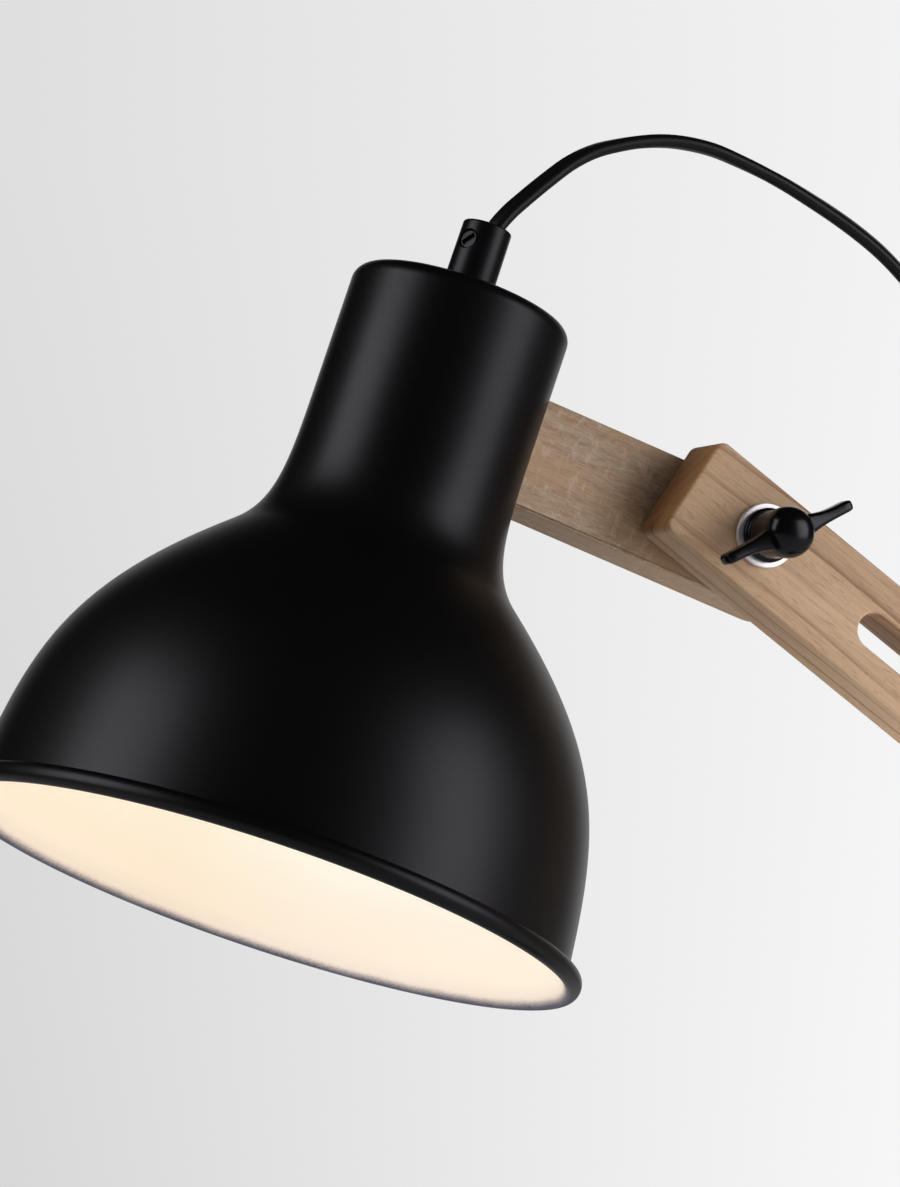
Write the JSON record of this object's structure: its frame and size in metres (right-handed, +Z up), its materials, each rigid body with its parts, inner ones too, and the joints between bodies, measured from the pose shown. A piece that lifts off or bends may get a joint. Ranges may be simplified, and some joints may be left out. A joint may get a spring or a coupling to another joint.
{
  "type": "table lamp",
  "caption": "Adjustable table lamp: black bell shade on wooden arms held by wing nuts to a wooden post on a round black base, with a black lead.",
  "frame": {"origin": "middle of the base's underside, on the surface that the lamp stands on; the post stands on the Z axis", "axes": "+Z up, +X from the shade towards the post and beyond, -Y the front, where the wing nuts are"},
  "size_m": [0.4942, 0.3159, 0.5417],
  "materials": {
    "black_paint": "satin",
    "black_plastic": "satin",
    "cord_black": "matte",
    "wood": "matte",
    "bright_washer": "polished",
    "steel": "satin",
    "brass": "polished",
    "fibre": "matte",
    "bulb_glass": "matte",
    "bulb_metal": "satin",
    "pad": "matte"
  },
  "bodies": {
    "base": {"base_pad": "pad", "base_plate": "black_paint", "post": "wood", "post_screw_left": "steel", "post_screw_right": "steel", "post_cord_clip_upper": "black_plastic", "post_cord_clip_upper_screw": "steel", "post_cord_clip_lower": "black_plastic", "post_cord_clip_lower_screw": "steel", "lower_bolt": "steel", "cord_post_loop": "cord_black", "cord_on_post": "cord_black", "cord_to_switch": "cord_black", "switch_lower_shell": "black_plastic", "switch_upper_shell": "black_plastic", "switch_sleeve_in": "cord_black", "switch_sleeve_out": "cord_black", "cord_from_switch": "cord_black", "cord_coil": "cord_black", "cord_tie": "cord_black", "cord_to_plug": "cord_black", "plug_body": "black_plastic", "plug_pin_front": "brass", "plug_pin_back": "brass", "plug_sleeve": "cord_black"},
    "lower_clamp": {"lower_friction_washer": "fibre", "lower_front_washer": "bright_washer"},
    "lower_wing_nut": {"lower_wing_nut": "black_plastic"},
    "arm": {"slotted_arm": "wood", "arm_cord_clip": "black_plastic", "arm_cord_clip_screw": "steel", "upper_friction_washer": "fibre", "upper_front_washer": "bright_washer", "cord_arm_loop": "cord_black"},
    "head": {"shade": "black_paint", "head_arm": "wood", "neck_saddle": "steel", "neck_screw_lower": "steel", "neck_screw_upper": "steel", "cable_grip": "black_plastic", "cable_grip_screw": "black_plastic", "shade_nipple": "steel", "nipple_nut": "steel", "lampholder_cap": "black_plastic", "lampholder_body": "black_plastic", "lampholder_shell": "brass", "lampholder_contact": "brass", "upper_bolt": "steel", "cord_head_loop": "cord_black"},
    "upper_wing_nut": {"upper_wing_nut": "black_plastic"},
    "bulb": {"bulb_cap": "bulb_metal", "bulb_glass": "bulb_glass"},
    "rocker": {"switch_rocker": "black_plastic"}
  },
  "joints": [
    {"name": "arm_swing", "type": "hinge", "parent": "base", "child": "lower_clamp", "pos_m": [0, 0, 0.32], "axis": [0, 1, 0], "range_deg": [-45, 40], "deforming": ["cord_post_loop"]},
    {"name": "arm_slide", "type": "slide", "parent": "lower_clamp", "child": "arm", "axis": [0.8149, 0, -0.5796], "range_m": [-0.042, 0.03], "deforming": ["cord_arm_loop"]},
    {"name": "head_tilt", "type": "hinge", "parent": "arm", "child": "head", "pos_m": [-0.15023, 0, 0.42797], "axis": [0, 1, 0], "range_deg": [-60, 60], "deforming": ["cord_head_loop"]},
    {"name": "upper_wing_nut_turn", "type": "hinge", "parent": "head", "child": "upper_wing_nut", "pos_m": [-0.15023, 0, 0.42797], "axis": [0, -1, 0], "range_deg": [0, 360]},
    {"name": "lower_wing_nut_turn", "type": "hinge", "parent": "base", "child": "lower_wing_nut", "pos_m": [0, 0, 0.32], "axis": [0, -1, 0], "range_deg": [0, 360]},
    {"name": "bulb_turn", "type": "hinge", "parent": "head", "child": "bulb", "pos_m": [-0.24006, -0.006, 0.46067], "axis": [-0.342, 0, -0.9397], "range_deg": [0, 360]},
    {"name": "rocker_tilt", "type": "hinge", "parent": "base", "child": "rocker", "pos_m": [-0.199, 0.146, 0.015], "axis": [0, 1, 0], "range_deg": [0, 16]}
  ]
}
